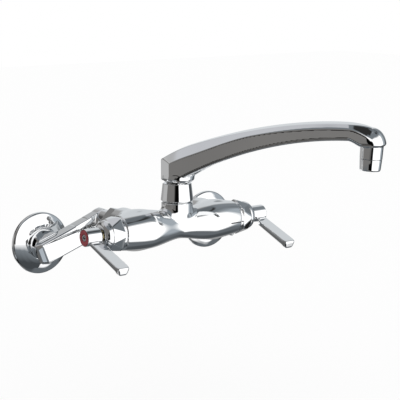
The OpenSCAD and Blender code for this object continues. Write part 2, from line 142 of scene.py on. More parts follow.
# Later boards cover earlier ones: middle, half size, level, tint, soft edges.
BOARDS = (
    ((35, 66), (115, 24), 120, BLUE, (10, 8)),         # ceiling, right
    ((100, 66), (42, 10), 103, BLUE, (14, 6)),         # lamp boom
    ((105, 57.5), (20, 2.5), 45, NEUTRAL, (8, 3)),
    ((70, 66), (13, 8.5), 45, NEUTRAL, (6, 4)),
    ((-125, 72), (70, 25), 192, LILAC, (24, 8)),       # ceiling, left
    ((-88, 88), (100, 9), 186, LILAC, (20, 6)),
    ((-105, 36), (22, 12), 180, NEUTRAL, (12, 8)),
    ((-147, 31), (18, 15), 155, NEUTRAL, (10, 8)),     # back wall, left
    ((-124, 22), (15, 9), 72, NEUTRAL, (8, 8)),
    ((-108, -1), (16, 12), 176, NEUTRAL, (6, 8)),
    ((-145, -6), (22, 9), 158, NEUTRAL, (8, 6)),
    ((176, 16), (22, 46), 205, PALE, (12, 12)),        # back wall
    ((132, 20), (23, 34), 128, BLUE, (12, 10)),        # wall, right
    ((114, 24), (15, 24), 112, BLUE, (14, 10)),
    ((134, -8), (20, 12), 74, BLUE, (14, 10)),
    ((0, -66), (180, 52), 104, BLUE, (1, 8)),          # table
    ((-8, -60), (34, 46), 110, WARM, (6, 6)),
    ((176, -32), (16, 10), 150, NEUTRAL, (10, 10)),
    ((152, -55), (30, 14), 76, BLUE, (20, 12)),
    ((40, -60), (20, 22), 80, BLUE, (10, 10)),
    ((-6, -7.5), (14, 4), 117, WARM, (2, 2)),
    ((-112, -30), (25, 14), 95, NEUTRAL, (6, 6)),
    ((-152, -30), (13, 11), 250, NEUTRAL, (6, 6)),
    ((137, -27), (24, 8), 30, NEUTRAL, (8, 5)),
    ((-29, -39), (11, 5), 180, BLUE, (4, 4)),
    ((-25, -53), (46, 8), 5, NEUTRAL, (6, 2)),         # black cards round
    ((-9, -17.5), (17, 6.5), 5, NEUTRAL, (3, 2)),
    ((-9, 3), (17, 7), 5, NEUTRAL, (3, 2)),            # the lens
    ((-1, -14), (9, 38), 5, NEUTRAL, (2, 4)),
    ((102, 6), (15, 37), 168, BLUE, (14, 12)),         # soft box's glow
    ((47, -2), (37.5, 44), 275, NEUTRAL, (5, 11)),     # soft box
    ((61, -5), (31, 41), 275, NEUTRAL, (8, 10)),
)
seen = grey(113, WARM)
for middle, reach, level, tint, soft in BOARDS:
    seen = board(seen, middle, reach, grey(level, tint), soft)
path = room.node("ShaderNodeLightPath")
lit = room.math("MAXIMUM", path.outputs["Is Camera Ray"], path.outputs["Is Diffuse Ray"])
background = room.node("ShaderNodeBackground")
room.feed(background.inputs["Color"], room.blend(lit, seen, (1.0, 1.0, 1.0, 1.0)))
room.feed(room.node("ShaderNodeOutputWorld").inputs["Surface"], background.outputs[0])


def stage_sheet(name, corners):
    """A flat sheet of the set, and the wiring of its paint, which has no shader yet."""
    mesh = bpy.data.meshes.new(name)
    mesh.from_pydata(corners, [], [tuple(range(len(corners)))])
    sheet = bpy.data.objects.new(name, mesh)
    bpy.context.scene.collection.objects.link(sheet)
    paint = bpy.data.materials.new(name + " paint")
    paint.use_nodes = True
    paint.node_tree.nodes.clear()
    mesh.materials.append(paint)
    return sheet, Wiring(paint.node_tree)


FLOOR_Z = -0.16
FLOOR_HALF = 4.0
FLOOR_GLOW = 0.8                   # share of plain white that the camera sees in the floor
floor, paint = stage_sheet("floor", [
    (x * FLOOR_HALF, y * FLOOR_HALF, FLOOR_Z) for x, y in ((-1, -1), (1, -1), (1, 1), (-1, 1))])
floor.visible_glossy = False
pale = paint.node("ShaderNodeBsdfDiffuse")
pale.inputs["Color"].default_value = (0.93, 0.93, 0.93, 1)
both = paint.node("ShaderNodeMixShader")
to_camera = paint.node("ShaderNodeLightPath").outputs["Is Camera Ray"]
paint.feed(both.inputs[0], paint.math("MULTIPLY", to_camera, FLOOR_GLOW))
paint.feed(both.inputs[1], pale.outputs[0])
paint.feed(both.inputs[2], paint.node("ShaderNodeEmission").outputs[0])
paint.feed(paint.node("ShaderNodeOutputMaterial").inputs["Surface"], both.outputs[0])

# A grey card stands in front of the hot wall flange, darker towards its foot. Only
# reflections show it.
CARD_Y = -0.125
card, paint = stage_sheet("grey card", [(x, CARD_Y, z) for x, z in (
    (-0.23, -0.2), (-0.03, -0.2), (-0.03, -0.06), (-0.095, -0.016), (-0.23, -0.016))])
card.visible_camera = False
card.visible_diffuse = False
card.visible_shadow = False
card_height = paint.node("ShaderNodeSeparateXYZ")
paint.feed(card_height.inputs[0], paint.node("ShaderNodeTexCoord").outputs["Object"])
card_tone = grey(70, BLUE)
for starts, deep, tone in ((-0.12, 0.08, grey(128, BLUE)), (-0.046, 0.03, grey(250))):
    above = paint.math("SUBTRACT", card_height.outputs["Z"], starts)
    card_tone = paint.blend(paint.math("DIVIDE", above, deep, clamp=True), card_tone, tone)
glow = paint.node("ShaderNodeEmission")
paint.feed(glow.inputs["Color"], card_tone)
paint.feed(paint.node("ShaderNodeOutputMaterial").inputs["Surface"], glow.outputs[0])

# ---- Faucet body ----
# One brass casting, polished and chrome plated: two swelling barrels that hold the
# valves, a waist, the column under the spout and a boss for each arm at the back.


def finish_group(name, outputs):
    """A shader group that reads the piece's own coordinates, with a Scale input."""
    group = bpy.data.node_groups.new(name, "ShaderNodeTree")
    group.interface.new_socket("Scale", in_out="INPUT", socket_type="NodeSocketFloat")
    for output in outputs:
        group.interface.new_socket(output, in_out="OUTPUT", socket_type="NodeSocketFloat")
    inside = Wiring(group)
    scale = inside.node("NodeGroupInput").outputs["Scale"]
    ends = inside.node("NodeGroupOutput")
    place = inside.node("ShaderNodeTexCoord").outputs["Object"]

    def noise(size, detail, stretch=None):
        """Noise over the piece. A larger size, or a larger Scale, makes it finer."""
        made = inside.node("ShaderNodeTexNoise")
        made.inputs["Detail"].default_value = detail
        at = place
        if stretch:
            mapping = inside.node("ShaderNodeMapping")
            mapping.inputs["Scale"].default_value = stretch
            inside.feed(mapping.inputs["Vector"], place)
            at = mapping.outputs[0]
        inside.feed(made.inputs["Vector"], at)
        inside.feed(made.inputs["Scale"], inside.math("MULTIPLY", scale, size))
        return made.outputs["Fac"]

    return inside, noise, ends


# Plating: a broad haze where fingers have been, the last strokes of the polishing
# mop, and the slight ripple of a surface ground by hand.
plating, noise, ends = finish_group("plating", ("Haze", "Strokes", "Ripple"))
plating.feed(ends.inputs["Haze"], plating.math(
    "MULTIPLY", plating.math("SUBTRACT", noise(28.0, 3.0), 0.42, clamp=True), 2.6, clamp=True))
plating.feed(ends.inputs["Strokes"], noise(900.0, 2.0, (0.08, 1.0, 1.0)))
plating.feed(ends.inputs["Ripple"], noise(55.0, 1.0))


def start_finish(name, scale, clean, hazed):
    """A new finish: its material, wiring, surface and marks, which take this scale. Its
    colour goes from clean to hazed with the marks' haze."""
    material = bpy.data.materials.new(name)
    material.use_nodes = True
    wiring = Wiring(material.node_tree)
    surface = material.node_tree.nodes["Principled BSDF"]
    marks = wiring.node("ShaderNodeGroup", node_tree=plating.tree)
    marks.inputs["Scale"].default_value = scale
    wiring.feed(surface.inputs["Base Color"],
                wiring.blend(marks.outputs["Haze"], clean + (1.0,), hazed + (1.0,)))
    return material, wiring, surface, marks


def rough_up(wiring, surface, height, strength, distance):
    """Bump on a surface, as high as the mark that it follows."""
    bump = wiring.node("ShaderNodeBump")
    bump.inputs["Strength"].default_value = strength
    bump.inputs["Distance"].default_value = distance
    wiring.feed(bump.inputs["Height"], height)
    wiring.feed(surface.inputs["Normal"], bump.outputs[0])


PLATE_TONE = (0.84, 0.845, 0.85)


def chrome(name, scale, rough, ripple):
    """Chrome plate over polished brass."""
    material, wiring, surface, marks = start_finish(
        name, scale, PLATE_TONE, tuple(0.955 * c for c in PLATE_TONE))
    surface.inputs["Metallic"].default_value = 1.0
    streaked = wiring.math("ADD", wiring.math("MULTIPLY", marks.outputs["Haze"], rough * 0.5),
                           wiring.math("MULTIPLY", marks.outputs["Strokes"], rough))
    wiring.feed(surface.inputs["Roughness"], streaked)
    rough_up(wiring, surface, marks.outputs["Ripple"], 1.0, ripple)
    return material


def skin(field, low, high, step):
    """The surface where a field is zero: points, outward normals and four-sided faces.
    Each grid cell that the surface crosses holds one point, at the mean of its cuts."""
    low = np.array(low, float)
    axes = [np.arange(a, b + step, step) for a, b in zip(low, high)]
    values = field(*np.meshgrid(*axes, indexing="ij"))
    cells = np.array(values.shape) - 1
    corners = [(i, j, k) for i in (0, 1) for j in (0, 1) for k in (0, 1)]

    def at(corner):
        return values[tuple(slice(c, c + n) for c, n in zip(corner, cells))]

    inside = sum((at(c) < 0).astype(np.int8) for c in corners)
    crossed = (inside > 0) & (inside < 8)
    index = np.full(crossed.shape, -1)
    index[crossed] = np.arange(crossed.sum())
    total = np.zeros((crossed.sum(), 3))
    count = np.zeros(crossed.sum())
    for a in corners:
        for axis in range(3):
            if a[axis]:
                continue
            b = tuple(1 if i == axis else c for i, c in enumerate(a))
            first, last = at(a)[crossed], at(b)[crossed]
            cuts = (first < 0) != (last < 0)
            share = first[cuts] / (first[cuts] - last[cuts])
            total[cuts] += a
            total[cuts, axis] += share
            count[cuts] += 1
    points = low + (np.argwhere(crossed) + total / count[:, None]) * step

    # A face joins the four cells round each grid edge that the surface cuts.
    faces = []
    for axis in range(3):
        b, c = (axis + 1) % 3, (axis + 2) % 3
        before = [slice(None)] * 3
        after = [slice(None)] * 3
        before[axis], after[axis] = slice(0, -1), slice(1, None)
        for other in (b, c):
            before[other] = after[other] = slice(1, -1)
        first, last = values[tuple(before)] < 0, values[tuple(after)] < 0
        edges = np.argwhere(first != last)
        starts = first[tuple(edges.T)]
        edges[:, b] += 1
        edges[:, c] += 1
        ring = []
        for back_b, back_c in ((0, 0), (1, 0), (1, 1), (0, 1)):
            cell = edges.copy()
            cell[:, b] -= back_b
            cell[:, c] -= back_c
            ring.append(index[tuple(cell.T)])
        ring = np.array(ring).T
        faces.append(np.where(starts[:, None], ring, ring[:, ::-1]))

    def gradient(p):
        small = 0.02
        result = np.empty_like(p)
        for axis in range(3):
            ahead, behind = p.copy(), p.copy()
            ahead[:, axis] += small
            behind[:, axis] -= small
            result[:, axis] = (field(*ahead.T) - field(*behind.T)) / (2 * small)
        return result

    # The points slide onto the surface, along the field's slope.
    for _ in range(4):
        slope = gradient(points)
        move = field(*points.T) / np.maximum((slope ** 2).sum(1), 1e-3)
        move = np.clip(move, -0.5 * step, 0.5 * step)
        points -= move[:, None] * slope
    slope = gradient(points)
    normals = slope / np.maximum(np.linalg.norm(slope, axis=1), 1e-6)[:, None]
    return points, normals, np.concatenate(faces)


def placed(name, points, normals, faces, to_frame, material):
    """A mesh object at the origin, from millimetres in a piece's own frame."""
    turn_only = np.array(to_frame.to_3x3())
    points = (np.asarray(points) @ turn_only.T + np.array(to_frame.translation)) * MM
    if np.linalg.det(turn_only) < 0:
        faces = [tuple(face)[::-1] for face in faces]
    mesh = bpy.data.meshes.new(name)
    mesh.from_pydata([tuple(p) for p in points], [], [tuple(int(i) for i in f) for f in faces])
    mesh.shade_smooth()
    if normals is not None:
        normals = normals @ turn_only.T
        mesh.normals_split_custom_set_from_vertices([tuple(n) for n in normals])
    mesh.materials.append(material)
    piece = bpy.data.objects.new(name, mesh)
    bpy.context.scene.collection.objects.link(piece)
    return piece


def cast(name, field, low, high, step, to_frame, material):
    """A piece whose shape is a field: negative in the metal, millimetres outside it."""
    points, normals, faces = skin(field, low, high, step)
    return placed(name, points, normals, faces, to_frame, material)


def meet(radius, *fields):
    """What all the fields share, with its edges rounded."""
    over = [np.maximum(f + radius, 0) for f in fields]
    most = fields[0]
    for f in fields[1:]:
        most = np.maximum(most, f)
    return np.minimum(most, -radius) + np.sqrt(sum(o * o for o in over))


def join(radius, first, second):
    """Both fields together, with a fillet in the corner between them."""
    return -meet(radius, -first, -second)


def bore(body, hole, ease=0.25):
    """The body with a hole taken out of it, its edges eased."""
    return meet(ease, body, -hole)


def glide(first, last, share):
    """Passes smoothly from the first value to the last as share goes from 0 to 1."""
    t = np.clip(share, 0, 1)
    return first + (last - first) * t * t * (3 - 2 * t)


WALL_X = 101.6
PIVOT_X = 46.0
ARM_OFFSET = 59.0
BODY_REACH = 90.0
BODY_RISE = sqrt(ARM_OFFSET ** 2 - (WALL_X - PIVOT_X) ** 2)
ARM_RISE = asin(BODY_RISE / ARM_OFFSET)
SIDES = (("hot", -1), ("cold", 1))


def mirrored(side):
    """The hot side's pieces are drawn, and the cold side's are their mirror images."""
    return Matrix.Scale(-1, 4, (1, 0, 0)) if side > 0 else Matrix.Identity(4)


at_body = Matrix.Translation((0, -BODY_REACH, BODY_RISE))

WAIST_R = 13.2
BARREL_R = 18.6
BARREL_END_R = 16.4
BARREL_END = 67.5
CROWN = 39.0                       # where a barrel is widest
SEAT_X = 32.0
CHAMBER_R = 12.6
WATER_R = 5.0
COLUMN_R = 15.2
COLUMN_FROM = 14.0
SHOULDER = 23.0
POST_R = 12.6
POST_TOP = 37.0
TAIL_R = 9.5
TAIL_ROOM = -6.0                   # lower end of the room for the spout's tail
BOSS_R = 18.0
BOSS_Y = 27.5
INLET_THREAD_R = 13.1
INLET_Y = 32.5
INLET_BORE_R = 7.0
CASTING_FILLET = 6.0


def barrel_r(x):
    """Radius of a barrel, from the waist over its crown to its end."""
    swell = WAIST_R + (BARREL_R - WAIST_R) * np.sin(np.minimum(x / CROWN, 1) * pi / 2) ** 1.7
    return np.where(x < CROWN, swell,
                    BARREL_R - (BARREL_R - BARREL_END_R) * ((x - CROWN) / (BARREL_END - CROWN)) ** 2)


def body_field(x, y, z):
    """The casting, x along its barrels, y to the wall and z up the column."""
    out = np.abs(x)
    barrels = meet(1.8, np.hypot(y, z) - barrel_r(out), out - BARREL_END)
    round_xy = np.hypot(x, y)
    foot = np.sqrt(round_xy ** 2 + (np.minimum(z - COLUMN_FROM, 0) * 1.5) ** 2)
    column = meet(1.4, foot - COLUMN_R, z - SHOULDER)
    post = meet(0.5, round_xy - POST_R, z - POST_TOP, -z)
    inlet = np.hypot(out - PIVOT_X, z)
    boss = meet(0.8, inlet - BOSS_R, y - BOSS_Y, -y)
    thread = meet(0.6, inlet - INLET_THREAD_R, y - INLET_Y, -y)
    metal = join(CASTING_FILLET, join(CASTING_FILLET, barrels, column), boss)
    metal = np.minimum(np.minimum(metal, thread), post)
    metal = bore(metal, meet(0.1, round_xy - TAIL_R - 0.05, TAIL_ROOM - z))
    metal = bore(metal, meet(0.1, np.hypot(y, z) - WATER_R, out - SEAT_X - 1))
    metal = bore(metal, meet(0.1, np.hypot(y, z) - CHAMBER_R, SEAT_X - out))
    return bore(metal, meet(0.1, inlet - INLET_BORE_R, 4 - y))


cast_chrome = chrome("chrome plated casting", 1.0, 0.05, 0.00002)
body = cast("faucet_body_casting", body_field, (-69, -20, -20), (69, 34, 38.5), 0.75, at_body,
            cast_chrome)
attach(body, "body")
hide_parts("faucet_body")

# ---- Spout ----
# A hollow brass casting, chrome plated: a bevelled beam that rises in a long curve and
# drops over the outlet. A foot under its base sits on the nut, and its turned tail
# runs down inside the body.

SPOUT_TURN = radians(48)
REACH = 185.0                      # swing axis to the outlet
BASE_HALF = 15.0
TIP_HALF = 13.5
PLAN_CUT = 10.6                    # corner cut across the back
TOP_Z = 102.8
CROWN_S = 150.0                    # where the top edge is level
TOP_DROP = 29.4
TOP_POWER = 1.85
NOSE_LEN = 48.9
NOSE_DROP = 21.4
NOSE_POWER = 2.6
DOME_H = 18.0
UNDER_Z = 87.0
UNDER_S = 160.0                    # where the underside turns level
UNDER_DROP = 44.2
UNDER_POWER = 2.02
SOLE_Z = 43.2
SOLE_BACK_Z = 44.4
LIP_Z = 81.5
BEVEL_BASE = 8.7
BEVEL_MIDDLE = 4.4
BEVEL_NOSE = 9.4
UNDER_BEVEL = 2.0
BASE_Z = 42.0
FOOT_S = 1.6
FOOT_R = 15.4
FOOT_TOP = 52.0
GUSSET = ((0, FOOT_TOP), (34, 66), 12, 6)
TAIL_FROM = 12.0
TAIL_BORE_R = 6.5
GROOVES = ((17, 1.3, 2.2), (27, 1.3, 2.2), (37.75, 0.75, 1.0))     # height, half width, depth
WATER_WAYS = (((0, 56), (68, 85.5), 4.4), ((65, 86), (181, 95), 3.5))
LEAN = radians(3.5)
SPIGOT_H = 12.0
SPIGOT_R = 10.9
OUTLET_BORE_R = 6.0
SOCKET_R = 9.0
SOCKET_H = 6.0


def spout_top(s):
    """Height of the top edge at a distance s from the swing axis."""
    rising = (TOP_Z - TOP_DROP * np.maximum(1 - s / CROWN_S, 0) ** TOP_POWER
              - 4.2 * (np.maximum(BASE_HALF - s, 0) / 32) ** 2)
    along = (np.clip(s, CROWN_S, REACH) - CROWN_S) / NOSE_LEN
    falling = NOSE_DROP * (1 - (1 - along ** NOSE_POWER) ** (1 / NOSE_POWER))
    return np.where(s < CROWN_S, rising, TOP_Z - falling)


def spout_under(s):
    """Height of the underside, from the sole over the foot to the lip round the outlet."""
    rising = UNDER_Z - UNDER_DROP * np.maximum(1 - s / UNDER_S, 0) ** UNDER_POWER
    sole = np.clip(SOLE_Z - (s + 10) * 0.24, SOLE_Z, SOLE_BACK_Z)
    falling = glide(UNDER_Z, LIP_Z, (s - UNDER_S - 3) / 14)
    return np.where(s < 0, sole, np.where(s < UNDER_S, rising, falling))


def true_slope(line, s, height):
    """A height field along the spout, scaled to real distance."""
    rise = (line(s + 0.4) - line(s - 0.4)) / 0.8
    return height / np.sqrt(1 + np.minimum(rise * rise, 9))


def beam_field(s, t, z):
    """The bevelled beam, s along it and t across it. Its bevels are widest at both ends."""
    across = np.hypot(np.maximum(s - REACH, 0), t)
    half = BASE_HALF + (TIP_HALF - BASE_HALF) * np.clip(s / REACH, 0, 1)
    side = across - half
    top = z - spout_top(s)
    under = spout_under(s) - z
    bevel = glide(glide(BEVEL_BASE, BEVEL_MIDDLE, (s - 10) / 65), BEVEL_NOSE, (s - 163) / 25)
    ease = glide(0.5, 1.0, (s - 70) / 60)
    metal = meet(ease, side, true_slope(spout_top, s, top), (side + top + bevel) / sqrt(2))
    nose = np.hypot(across, np.maximum(top + DOME_H, 0) * TIP_HALF / DOME_H) - TIP_HALF
    metal = glide(metal, nose, (s - REACH + 5) / 9)
    return meet(0.9, metal, -s - BASE_HALF, (np.abs(t) - s - 2 * BASE_HALF + PLAN_CUT) / sqrt(2),
                true_slope(spout_under, s, under), (side + under + UNDER_BEVEL) / sqrt(2))


def cone(r, radius, slope, height):
    """Distance past a cone or a sloping side: it stands this far out at height 0, and
    slope is how much further out for each millimetre of height."""
    return (r - radius - slope * height) / sqrt(1 + slope ** 2)


def rod(s, t, z, start, end, r1, r2):
    """A tapering round bar in the spout's middle plane, between two points (s, z)."""
    ds, dz = end[0] - start[0], end[1] - start[1]
    length = sqrt(ds * ds + dz * dz)
    along = ((s - start[0]) * ds + (z - start[1]) * dz) / length
    off = ((s - start[0]) * dz - (z - start[1]) * ds) / length
    radius = r1 + (r2 - r1) * np.clip(along / length, 0, 1)
    return meet(0.2, np.hypot(off, t) - radius, -along, along - length)


def outlet_frame(s, z):
    """Distance from the outlet's axis in the middle plane, and height along it."""
    return ((s - REACH) * cos(LEAN) - (z - LIP_Z) * sin(LEAN),
            (s - REACH) * sin(LEAN) + (z - LIP_Z) * cos(LEAN))


def spout_field(s, t, z):
    """The casting with its foot, tail and outlet, and the water ways through them."""
    metal = beam_field(s, t, z)
    foot_r = np.hypot(s - FOOT_S, t)
    foot = meet(1.0, foot_r - FOOT_R, BASE_Z - z, z - FOOT_TOP,
                cone(foot_r, FOOT_R - 3, 1, z - BASE_Z), cone(foot_r, FOOT_R, -1.13, z - FOOT_TOP + 3))
    metal = join(1.0, metal, foot)
    metal = join(1.5, metal, rod(s, t, z, *GUSSET))
    round_st = np.hypot(s, t)
    tail = meet(0.4, round_st - TAIL_R, TAIL_FROM - z, z - BASE_Z - 2)
    for groove_z, half, depth in GROOVES:
        tail = bore(tail, meet(0.1, np.abs(z - groove_z) - half, TAIL_R - depth - round_st), 0.15)
    metal = np.minimum(metal, tail)
    from_axis, along = outlet_frame(s, z)
    outlet_r = np.hypot(from_axis, t)
    metal = join(0.8, metal, meet(0.4, outlet_r - SPIGOT_R - 0.025 * along, -SPIGOT_H - along,
                                  along - 3))
    metal = bore(metal, meet(0.1, round_st - TAIL_BORE_R, TAIL_FROM - 1 - z, z - 61))
    for start, end, radius in WATER_WAYS:
        metal = bore(metal, rod(s, t, z, start, end, radius, radius))
    metal = bore(metal, meet(0.1, outlet_r - OUTLET_BORE_R, along))
    return bore(metal, meet(0.1, outlet_r - SOCKET_R, along + SPIGOT_H - SOCKET_H))


at_swing = at_body @ Matrix.Rotation(-SPOUT_TURN, 4, "Z")
spout = cast("spout_casting", spout_field, (-17, -17, 10.5), (201, 17, 105), 0.8, at_swing,
             cast_chrome)
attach(spout, "spout")
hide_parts("spout")

# ---- Spout nut ----
# A turned and milled brass nut with eight tapering flats, chrome plated. It screws
# onto the post of the body and holds the spout down by its inner lip.

NUT_TOP = 41.0
NUT_LIP = 38.6
NUT_HALF = 15.3                    # axis to the foot of a flat
NUT_TAPER = 2.03
NUT_TURN = 39.1
nut_chrome = chrome("chrome plated turning", 1.6, 0.04, 0.00001)


def flat_list(x, y, count, turn, distance, crown):
    """Distances past a ring of flats, each crowned across by polishing."""
    angles = [radians(turn) + 2 * pi * k / count for k in range(count)]
    return [x * cos(a) + y * sin(a) - distance + crown * (y * cos(a) - x * sin(a)) ** 2
            for a in angles]


def spout_nut_field(x, y, z):
    """The nut, its height measured from the shoulder of the body's column."""
    up = z - SHOULDER
    tall = NUT_TOP - SHOULDER
    corner = NUT_HALF / cos(pi / 8)
    r = np.hypot(x, y)
    flats = flat_list(x, y, 8, NUT_TURN, NUT_HALF - NUT_TAPER * up / tall, 0.01)
    metal = meet(0.3, *flats, -up, up - tall, cone(r, corner - 3, 1.3, up),
                 cone(r, corner + 0.4, -0.52, up - tall + 5))
    metal = bore(metal, meet(0.1, r - POST_R - 0.1, z - NUT_LIP))
    return bore(metal, r - TAIL_R - 0.8)


spout_nut = cast("spout_nut_milled", spout_nut_field, (-17.5, -17.5, 22), (17.5, 17.5, 42), 0.55,
                 at_body, nut_chrome)
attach(spout_nut, "body")
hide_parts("spout_nut")

# ---- Aerator ----
# A chromed shell screws into the outlet. It holds a stack of fine wire screens over
# a steel cup, pressed down on a rubber washer.


def eased(corners, radius):
    """A closed outline with every corner rounded."""
    result = []
    count = len(corners)
    for i in range(count):
        before, here, after = (np.array(corners[(i + k) % count], float) for k in (-1, 0, 1))
        back, ahead = before - here, after - here
        cut = min(radius, 0.45 * np.linalg.norm(back), 0.45 * np.linalg.norm(ahead))
        start = here + back / np.linalg.norm(back) * cut
        end = here + ahead / np.linalg.norm(ahead) * cut
        for t in np.linspace(0, 1, 5):
            result.append((1 - t) ** 2 * start + 2 * t * (1 - t) * here + t * t * end)
    return result


def turned(name, corners, radius, to_frame, material, segments=96):
    """A turned piece: an outline of (radius, height) corners spun about its axis."""
    outline = eased(corners, radius)
    n = len(outline)
    area = sum(outline[i][0] * outline[(i + 1) % n][1] - outline[(i + 1) % n][0] * outline[i][1]
               for i in range(n))
    if area < 0:
        outline = outline[::-1]
    points, faces = [], []
    for k in range(segments):
        a = 2 * pi * k / segments
        points += [(r * cos(a), r * sin(a), z) for r, z in outline]
    for k in range(segments):
        for i in range(n):
            j, m = (i + 1) % n, (k + 1) % segments
            faces.append((k * n + i, m * n + i, m * n + j, k * n + j))
    piece = placed(name, points, None, faces, to_frame, material)
    piece.data.set_sharp_from_angle(angle=radians(40))
    return piece


SHELL_H = 11.0
at_outlet = (at_swing @ Matrix.Translation((REACH, 0, LIP_Z)) @ Matrix.Rotation(LEAN, 4, "Y"))
at_shell = at_outlet @ Matrix.Translation((0, 0, -SPIGOT_H - SHELL_H))
aerator_shell = turned("aerator_shell_turned", [
    (7, 0), (9.1, 0), (9.9, 1.2), (10.5, 10.9), (8.9, 11.0), (8.9, 16), (7.8, 16), (7.8, 2.5),
    (7, 2.5)], 0.3, at_shell, nut_chrome)
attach(aerator_shell, "spout")
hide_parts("aerator_shell")


def brushed(name, tone, rough, scale):
    """A machined metal: tone, dull and bright streaks, and fine tool marks."""
    material, wiring, surface, marks = start_finish(name, scale, tone, tuple(0.65 * c for c in tone))
    surface.inputs["Metallic"].default_value = 1.0
    wiring.feed(surface.inputs["Roughness"], wiring.math(
        "ADD", wiring.math("MULTIPLY", marks.outputs["Strokes"], rough), rough * 0.6))
    rough_up(wiring, surface, marks.outputs["Strokes"], 0.6, 0.00004)
    return material


steel = brushed("stainless steel", (0.60, 0.60, 0.61), 0.22, 1.4)
cup = turned("aerator_cup", [(6.8, 2.5), (7.75, 2.5), (7.75, 11.5), (6.8, 11.5)], 0.2, at_shell,
             steel)
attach(cup, "spout")
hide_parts("aerator_insert")

# The screen repeats one wire in two directions, each as long as the round cup allows.
screen_tree = bpy.data.node_groups.new("wire screen", "GeometryNodeTree")
screen_tree.interface.new_socket("Geometry", in_out="OUTPUT", socket_type="NodeSocketGeometry")
for label, kind in (("Radius", "NodeSocketFloat"), ("Wire", "NodeSocketFloat"),
                    ("Count", "NodeSocketInt")):
    screen_tree.interface.new_socket(label, in_out="INPUT", socket_type=kind)
screen = Wiring(screen_tree)
given = screen.node("NodeGroupInput")
line = screen.node("GeometryNodeMeshLine", mode="END_POINTS")
screen.feed(line.inputs["Count"], given.outputs["Count"])
ends_at = screen.node("ShaderNodeCombineXYZ")
starts_at = screen.node("ShaderNodeCombineXYZ")
nearly = screen.math("MULTIPLY", given.outputs["Radius"], 0.96)
screen.feed(starts_at.inputs["X"], screen.math("MULTIPLY", nearly, -1.0))
screen.feed(ends_at.inputs["X"], nearly)
screen.feed(line.inputs["Start Location"], starts_at.outputs[0])
screen.feed(line.inputs["Offset"], ends_at.outputs[0])
wire = screen.node("GeometryNodeMeshCylinder")
wire.inputs["Vertices"].default_value = 6
wire.inputs["Depth"].default_value = 2.0
screen.feed(wire.inputs["Radius"], 1.0)
across_x = screen.node("ShaderNodeSeparateXYZ")
screen.feed(across_x.inputs[0], screen.node("GeometryNodeInputPosition").outputs[0])
half_wire = screen.math("SQRT", screen.math("SUBTRACT", screen.math(
    "POWER", given.outputs["Radius"], 2.0), screen.math("POWER", across_x.outputs["X"], 2.0)))
size = screen.node("ShaderNodeCombineXYZ")
screen.feed(size.inputs["X"], given.outputs["Wire"])
screen.feed(size.inputs["Y"], given.outputs["Wire"])
screen.feed(size.inputs["Z"], half_wire)
lay = screen.node("GeometryNodeInstanceOnPoints")
screen.feed(lay.inputs["Points"], line.outputs["Mesh"])
screen.feed(lay.inputs["Instance"], wire.outputs["Mesh"])
lay.inputs["Rotation"].default_value = (pi / 2, 0, 0)
screen.feed(lay.inputs["Scale"], size.outputs[0])
crosswise = screen.node("GeometryNodeTransform")
screen.feed(crosswise.inputs["Geometry"], lay.outputs["Instances"])
crosswise.inputs["Rotation"].default_value = (0, 0, pi / 2)
gather = screen.node("GeometryNodeJoinGeometry")
screen.feed(gather.inputs[0], lay.outputs["Instances"])
screen.feed(gather.inputs[0], crosswise.outputs["Geometry"])
solid = screen.node("GeometryNodeRealizeInstances")
screen.feed(solid.inputs[0], gather.outputs[0])
dress = screen.node("GeometryNodeSetMaterial")
dress.inputs["Material"].default_value = steel
screen.feed(dress.inputs["Geometry"], solid.outputs[0])
screen.feed(screen.node("NodeGroupOutput").inputs[0], dress.outputs[0])


def made_by(tree, name, values, to_frame):
    """The plain mesh that a geometry tree makes, placed from millimetres."""
    mesh = bpy.data.meshes.new(name + "_start")
    holder = bpy.data.objects.new(name + "_start", mesh)
    bpy.context.scene.collection.objects.link(holder)
    maker = holder.modifiers.new("made", "NODES")
    maker.node_group = tree
    for item in tree.interface.items_tree:
        if item.in_out == "INPUT" and item.name in values:
            maker[item.identifier] = values[item.name]
    bpy.context.view_layer.update()
    graph = bpy.context.evaluated_depsgraph_get()
    result = bpy.data.meshes.new_from_object(holder.evaluated_get(graph))
    bpy.data.objects.remove(holder)
    result.transform(Matrix.Scale(MM, 4) @ to_frame)
    result.name = name
    piece = bpy.data.objects.new(name, result)
    bpy.context.scene.collection.objects.link(piece)
    return piece


for number, level in enumerate((3.2, 4.6)):
    wires = made_by(screen_tree, f"aerator_screen_{number + 1}",
                    {"Radius": 6.75, "Wire": 0.14, "Count": 17},
                    at_shell @ Matrix.Translation((0, 0, level))
                    @ Matrix.Rotation(radians(45 * number), 4, "Z"))
    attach(wires, "spout")

# ---- Levers ----
# A forged brass lever, chrome plated: a round hub over the stem and a flat bar that
# falls away to the front and thickens underneath towards its tip.

HUB_R = 8.2
HUB_IN = 89.8
HUB_OUT = 105.4
STEM_BORE_R = 4.0
STEM_DEEP = 8.2
SCREW_BORE_R = 1.75
SCREW_ROOM_R = 3.5
SCREW_ROOM_DEEP = 3.2
LEVER_X = 97.2
LEVER_LEN = 59.0
LEVER_HALF = 6.3
LEVER_DROP = radians(19.4)
BAR_THICK = 4.6
TIP_THICK = 8.0
TIP_CORNER_R = 2.6
ROOT_LEN = 20.0                    # where the bar narrows towards the end of the hub
ROOT_HALF = 2.2


